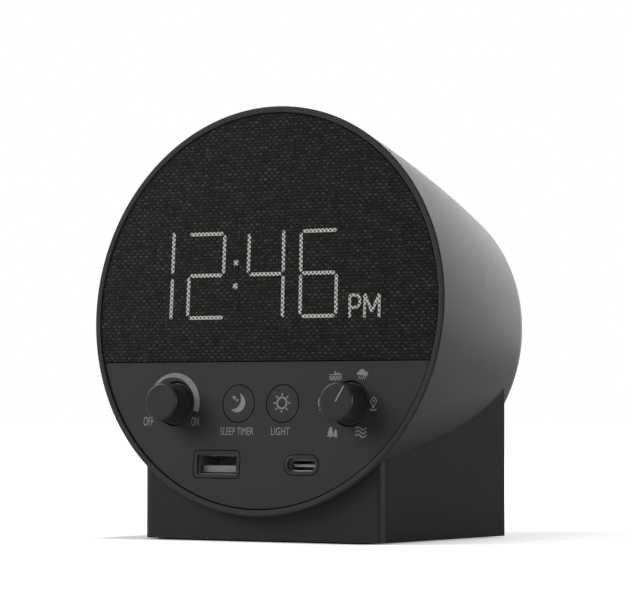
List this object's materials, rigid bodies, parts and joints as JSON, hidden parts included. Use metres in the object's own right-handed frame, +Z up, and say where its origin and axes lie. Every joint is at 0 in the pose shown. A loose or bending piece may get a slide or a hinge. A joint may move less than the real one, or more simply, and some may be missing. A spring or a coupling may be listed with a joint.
{
  "type": "white noise sound machine",
  "caption": "Round white noise sound machine with a clock behind fabric, two dials, two buttons and USB charging sockets on a square stand.",
  "frame": {"origin": "centre of the foot pad's underside", "axes": "+Z up, the front faces -Y and leans back, +X to the right of someone facing it"},
  "size_m": [0.114, 0.084, 0.1206],
  "materials": {
    "black_shell": "fine matte",
    "black_stand": "fine matte",
    "black_panel": "fine matte",
    "black_knob": "satin",
    "grille_fabric": "coarse woven",
    "inner_plastic": "plain",
    "rubber_pad": "matte",
    "screw_steel": "blackened",
    "port_plastic": "semi-gloss",
    "port_metal": "plated",
    "tongue_plastic": "plain",
    "contact_gold": "plated",
    "board": "solder mask",
    "chip": "moulded",
    "display_glass": "smoked",
    "display_light": "lit",
    "speaker_steel": "painted",
    "speaker_paper": "pulp",
    "speaker_rubber": "matte",
    "magnet_ferrite": "sintered",
    "control_metal": "brushed"
  },
  "bodies": {
    "main": {"stand_base": "black_stand", "base_plate": "inner_plastic", "foot_pad": "rubber_pad", "base_plate_screws": "screw_steel", "saddle_screws": "screw_steel", "housing": "black_shell", "front_ring": "black_shell", "grille_frame": "inner_plastic", "grille_cloth": "grille_fabric", "control_panel": "black_panel", "volume_control": "inner_plastic", "selector_switch": "inner_plastic", "front_switches": "chip", "control_board": "board", "control_board_screws": "screw_steel", "usb_a_bezel": "port_plastic", "usb_a_shell": "port_metal", "usb_a_tongue": "tongue_plastic", "usb_a_contacts": "contact_gold", "usb_c_bezel": "port_plastic", "usb_c_shell": "port_metal", "usb_c_tongue": "tongue_plastic", "usb_board": "board", "usb_board_screws": "screw_steel", "display_board": "board", "display_module": "display_glass", "display_segments": "display_light", "display_screws": "screw_steel", "speaker_baffle": "inner_plastic", "baffle_screws": "screw_steel", "speaker_basket": "speaker_steel", "speaker_surround": "speaker_rubber", "speaker_cone": "speaker_paper", "speaker_magnet": "magnet_ferrite", "speaker_screws": "screw_steel", "rear_cover": "black_shell", "rear_cover_screws": "screw_steel", "main_board": "board", "main_board_chips": "chip", "main_board_screws": "screw_steel", "rear_switches": "chip", "dc_jack": "port_plastic", "dc_pin": "control_metal"},
    "volume_dial": {"volume_knob": "black_knob", "volume_shaft": "control_metal"},
    "selector_dial": {"selector_knob": "black_knob", "selector_shaft": "control_metal"},
    "timer_key": {"timer_button": "black_knob"},
    "dimmer_key": {"dimmer_button": "black_knob"},
    "set_key": {"set_button": "black_knob"},
    "hour_key": {"hour_button": "black_knob"},
    "minute_key": {"minute_button": "black_knob"}
  },
  "joints": [
    {"name": "volume_turn", "type": "hinge", "parent": "main", "child": "volume_dial", "pos_m": [-0.0285, -0.03282, 0.03809], "axis": [0, 0.9965, -0.0837], "range_deg": [0, 300]},
    {"name": "selector_turn", "type": "hinge", "parent": "main", "child": "selector_dial", "pos_m": [0.0285, -0.03282, 0.03809], "axis": [0, 0.9965, -0.0837], "range_deg": [-180, 120]},
    {"name": "timer_press", "type": "slide", "parent": "main", "child": "timer_key", "axis": [0, 0.9965, -0.0837], "range_m": [0, 0.0006], "stiffness_N_per_m": 600},
    {"name": "dimmer_press", "type": "slide", "parent": "main", "child": "dimmer_key", "axis": [0, 0.9965, -0.0837], "range_m": [0, 0.0006], "stiffness_N_per_m": 600},
    {"name": "set_press", "type": "slide", "parent": "main", "child": "set_key", "axis": [0, -0.9965, 0.0837], "range_m": [0, 0.0005], "stiffness_N_per_m": 600},
    {"name": "hour_press", "type": "slide", "parent": "main", "child": "hour_key", "axis": [0, -0.9965, 0.0837], "range_m": [0, 0.0005], "stiffness_N_per_m": 600},
    {"name": "minute_press", "type": "slide", "parent": "main", "child": "minute_key", "axis": [0, -0.9965, 0.0837], "range_m": [0, 0.0005], "stiffness_N_per_m": 600}
  ]
}
